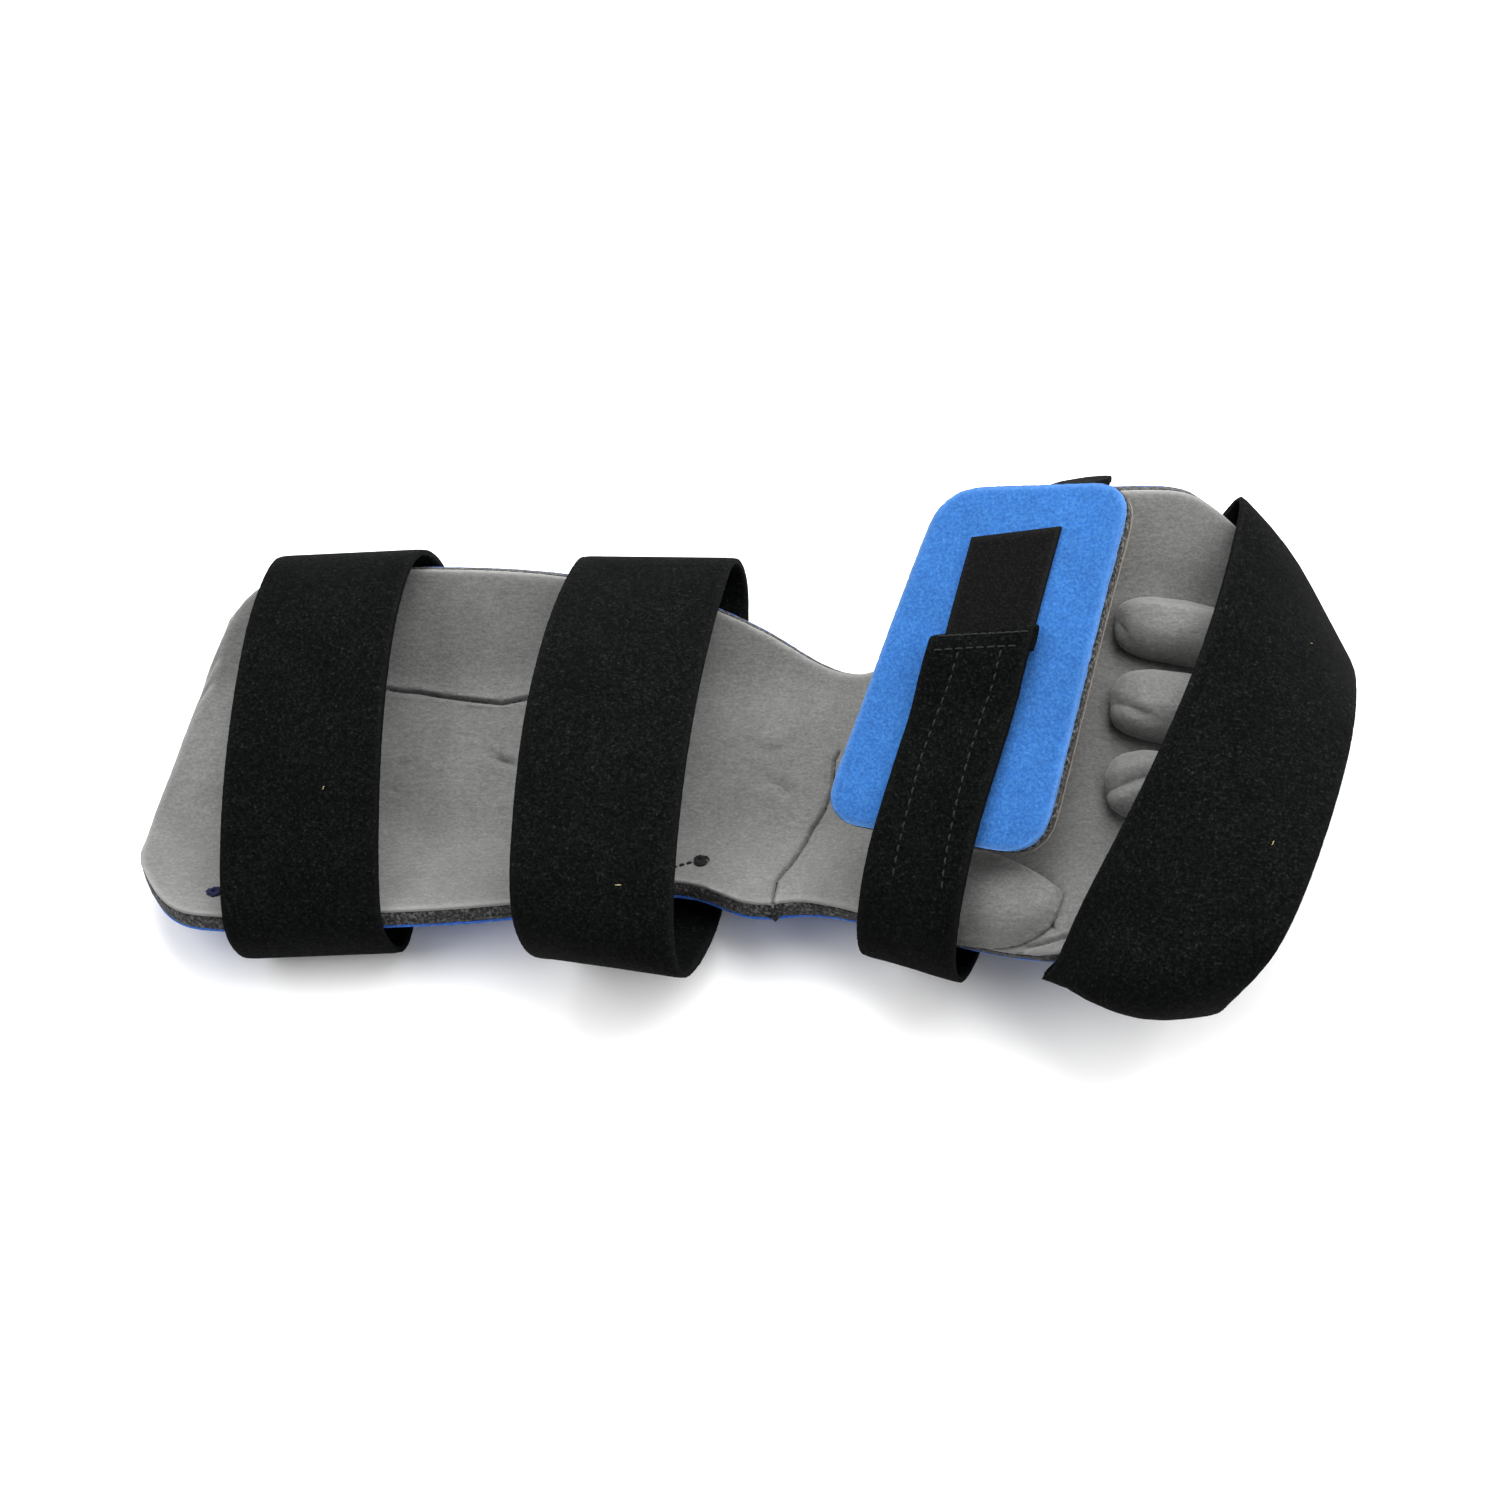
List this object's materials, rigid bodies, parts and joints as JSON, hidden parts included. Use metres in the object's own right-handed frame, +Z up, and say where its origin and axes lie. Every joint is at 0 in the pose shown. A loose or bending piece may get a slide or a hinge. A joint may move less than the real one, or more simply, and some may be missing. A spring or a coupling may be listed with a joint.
{
  "type": "resting hand splint",
  "caption": "Padded trough splint that holds a forearm, wrist and hand at rest, with loop straps, a strapped pad over the back of the hand and rolls between the fingers",
  "frame": {"origin": "under the middle of the whole splint, on the surface that it lies on", "axes": "+X from the forearm end to the fingertips, +Y to the little finger side, +Z up out of the trough"},
  "size_m": [0.3796, 0.1592, 0.0836],
  "materials": {
    "liner_grey": "matte brushed knit",
    "foam_grey": "matte closed-cell foam, cut edge",
    "loop_blue": "matte loop cloth",
    "pad_blue": "matte brushed loop cloth",
    "strap_black": "matte napped loop webbing",
    "hook_black": "matte moulded hooks"
  },
  "bodies": {
    "root": {"grey_liner": "liner_grey", "foam_core": "foam_grey", "blue_backing": "loop_blue", "finger_separator_1": "liner_grey", "finger_separator_2": "liner_grey", "finger_separator_3": "liner_grey", "thumb_roll": "liner_grey", "forearm_strap_proximal": "strap_black", "forearm_strap_distal": "strap_black", "finger_strap": "strap_black", "hand_pad_face": "pad_blue", "hand_pad_foam": "foam_grey", "hand_pad_lining": "liner_grey", "hook_tab": "hook_black", "hand_strap": "strap_black", "hand_strap_far": "strap_black"}
  },
  "joints": []
}
